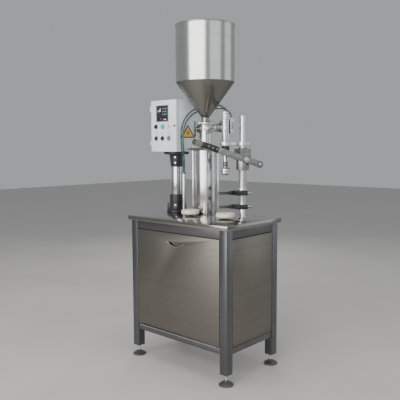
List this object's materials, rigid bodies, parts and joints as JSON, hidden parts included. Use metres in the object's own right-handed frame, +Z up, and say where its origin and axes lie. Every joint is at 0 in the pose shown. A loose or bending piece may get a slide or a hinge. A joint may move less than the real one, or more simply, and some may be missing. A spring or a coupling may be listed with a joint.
{
  "type": "piston liquid filler",
  "caption": "Bench piston filler: hopper, valve and dosing cylinder on a legged steel cabinet, with sprung nozzle lever, guide clamps, rest discs and a control enclosure on a pedestal.",
  "frame": {"origin": "middle of the whole footprint, on the floor under the four feet", "axes": "+Z up, +X along the cabinet front to the right as the operator sees it, +Y towards the back"},
  "size_m": [0.792, 0.5226, 1.958],
  "materials": {
    "frame_steel": "brushed stainless square tube",
    "sheet_steel": "brushed stainless sheet",
    "table_steel": "polished stainless sheet",
    "bright_steel": "polished stainless",
    "hopper_steel": "polished stainless sheet with fine brushing",
    "machined_steel": "machined stainless",
    "drive_aluminium": "anodised aluminium",
    "foot_plastic": "black nylon pad on a steel stud",
    "black_fitting": "black moulded fitting",
    "grip_plastic": "black holder with a grey-brown grip",
    "cream_plastic": "natural cast plastic",
    "enclosure_paint": "light grey powder coat",
    "actuator_body": "cast aluminium, satin",
    "black_button": "black moulded cap",
    "teal_lens": "translucent teal lens",
    "green_button": "green moulded cap",
    "hose_plastic": "dark teal polyurethane"
  },
  "bodies": {
    "machine": {"leg_front_left": "frame_steel", "leg_front_right": "frame_steel", "leg_back_left": "frame_steel", "leg_back_right": "frame_steel", "upper_frame": "sheet_steel", "lower_frame": "sheet_steel", "left_panel": "sheet_steel", "right_panel": "sheet_steel", "back_panel": "sheet_steel", "floor_panel": "sheet_steel", "tabletop": "table_steel", "door_hinge": "bright_steel", "dosing_cylinder": "bright_steel", "top_plate": "bright_steel", "tie_rod_front_left": "bright_steel", "tie_rod_front_right": "bright_steel", "tie_rod_back_left": "bright_steel", "tie_rod_back_right": "bright_steel", "valve_body": "bright_steel", "outlet_pipe": "bright_steel", "hopper_clamp": "bright_steel", "nozzle_head": "bright_steel", "column_rod": "bright_steel", "top_clamp": "bright_steel", "return_spring": "bright_steel", "air_conduit": "bright_steel", "hopper": "hopper_steel", "pedestal_tube": "machined_steel", "drive_cylinder": "drive_aluminium", "nozzle_gland": "black_fitting", "pedestal_base": "black_fitting", "pedestal_head": "black_fitting", "nozzle_air_cylinder": "actuator_body", "air_hose_a": "hose_plastic", "air_hose_b": "hose_plastic"},
    "door": {"front_door": "sheet_steel", "door_pull": "bright_steel"},
    "foot_fl": {"foot_front_left": "foot_plastic"},
    "foot_fr": {"foot_front_right": "foot_plastic"},
    "foot_bl": {"foot_back_left": "foot_plastic"},
    "foot_br": {"foot_back_right": "foot_plastic"},
    "dosing_rod": {"dosing_piston": "cream_plastic", "piston_rod": "bright_steel"},
    "valve_gate": {"valve_plug": "machined_steel"},
    "nozzle_pin": {"shutoff_pin": "bright_steel"},
    "lever_carriage": {"carriage_block": "machined_steel", "lever_arm": "machined_steel", "lever_grip": "grip_plastic", "nozzle_tube": "bright_steel"},
    "upper_stop": {"upper_guide": "black_fitting"},
    "lower_stop": {"lower_guide": "black_fitting"},
    "disc_left": {"rest_disc_left": "cream_plastic"},
    "disc_right": {"rest_disc_right": "cream_plastic"},
    "control_box": {"enclosure_body": "enclosure_paint"},
    "box_door": {"enclosure_door": "enclosure_paint"},
    "selector": {"selector_switch": "black_button"},
    "button_lit": {"lit_button": "teal_lens"},
    "button_black_left": {"black_button_left": "black_button"},
    "button_black_middle": {"black_button_middle": "black_button"},
    "button_green": {"green_button": "green_button"}
  },
  "joints": [
    {"name": "front_door_hinge", "type": "hinge", "parent": "machine", "child": "door", "pos_m": [0.014, -0.24858, 0.2], "axis": [1, 0, 0], "range_deg": [0, 90]},
    {"name": "foot_fl_screw", "type": "hinge", "parent": "machine", "child": "foot_fl", "pos_m": [-0.329, -0.22108, 0.03], "axis": [0, 0, 1], "continuous": true},
    {"name": "foot_fr_screw", "type": "hinge", "parent": "machine", "child": "foot_fr", "pos_m": [0.357, -0.22108, 0.03], "axis": [0, 0, 1], "continuous": true},
    {"name": "foot_bl_screw", "type": "hinge", "parent": "machine", "child": "foot_bl", "pos_m": [-0.329, 0.18092, 0.03], "axis": [0, 0, 1], "continuous": true},
    {"name": "foot_br_screw", "type": "hinge", "parent": "machine", "child": "foot_br", "pos_m": [0.357, 0.18092, 0.03], "axis": [0, 0, 1], "continuous": true},
    {"name": "dosing_stroke", "type": "slide", "parent": "machine", "child": "dosing_rod", "axis": [0, 0, 1], "range_m": [0, 0.3]},
    {"name": "valve_turn", "type": "hinge", "parent": "machine", "child": "valve_gate", "pos_m": [-0.056, 0.08389, 1.358], "axis": [-0.4286, -0.9035, 0], "range_deg": [0, 90]},
    {"name": "shutoff_lift", "type": "slide", "parent": "machine", "child": "nozzle_pin", "axis": [0, 0, 1], "range_m": [0, 0.012]},
    {"name": "lever_travel", "type": "slide", "parent": "machine", "child": "lever_carriage", "axis": [0, 0, 1], "range_m": [-0.06, 0], "stiffness_N_per_m": 1500, "springref_m": 0.06, "deforming": ["return_spring"]},
    {"name": "upper_guide_slide", "type": "slide", "parent": "machine", "child": "upper_stop", "axis": [0, 0, 1], "range_m": [-0.03, 0]},
    {"name": "lower_guide_slide", "type": "slide", "parent": "machine", "child": "lower_stop", "axis": [0, 0, 1], "range_m": [-0.014, 0.02]},
    {"name": "left_disc_turn", "type": "hinge", "parent": "machine", "child": "disc_left", "pos_m": [-0.061, -0.04511, 0.87], "axis": [0, 0, 1], "continuous": true},
    {"name": "right_disc_turn", "type": "hinge", "parent": "machine", "child": "disc_right", "pos_m": [0.199, -0.03708, 0.87], "axis": [0, 0, 1], "continuous": true},
    {"name": "enclosure_swivel", "type": "hinge", "parent": "machine", "child": "control_box", "pos_m": [-0.286, 0.06992, 1.224], "axis": [0, 0, 1], "range_deg": [-20, 0]},
    {"name": "enclosure_door_hinge", "type": "hinge", "parent": "control_box", "child": "box_door", "pos_m": [-0.398, -0.04008, 1.3788], "axis": [0, 0, -1], "range_deg": [0, 110]},
    {"name": "selector_turn", "type": "hinge", "parent": "box_door", "child": "selector", "pos_m": [-0.3525, -0.03808, 1.3758], "axis": [0, -1, 0], "range_deg": [-45, 45]},
    {"name": "button_lit_press", "type": "slide", "parent": "box_door", "child": "button_lit", "axis": [0, 1, 0], "range_m": [0, 0.004], "stiffness_N_per_m": 400, "springref_m": -0.002},
    {"name": "button_black_left_press", "type": "slide", "parent": "box_door", "child": "button_black_left", "axis": [0, 1, 0], "range_m": [0, 0.004], "stiffness_N_per_m": 400, "springref_m": -0.002},
    {"name": "button_black_middle_press", "type": "slide", "parent": "box_door", "child": "button_black_middle", "axis": [0, 1, 0], "range_m": [0, 0.004], "stiffness_N_per_m": 400, "springref_m": -0.002},
    {"name": "button_green_press", "type": "slide", "parent": "box_door", "child": "button_green", "axis": [0, 1, 0], "range_m": [0, 0.004], "stiffness_N_per_m": 400, "springref_m": -0.002}
  ]
}
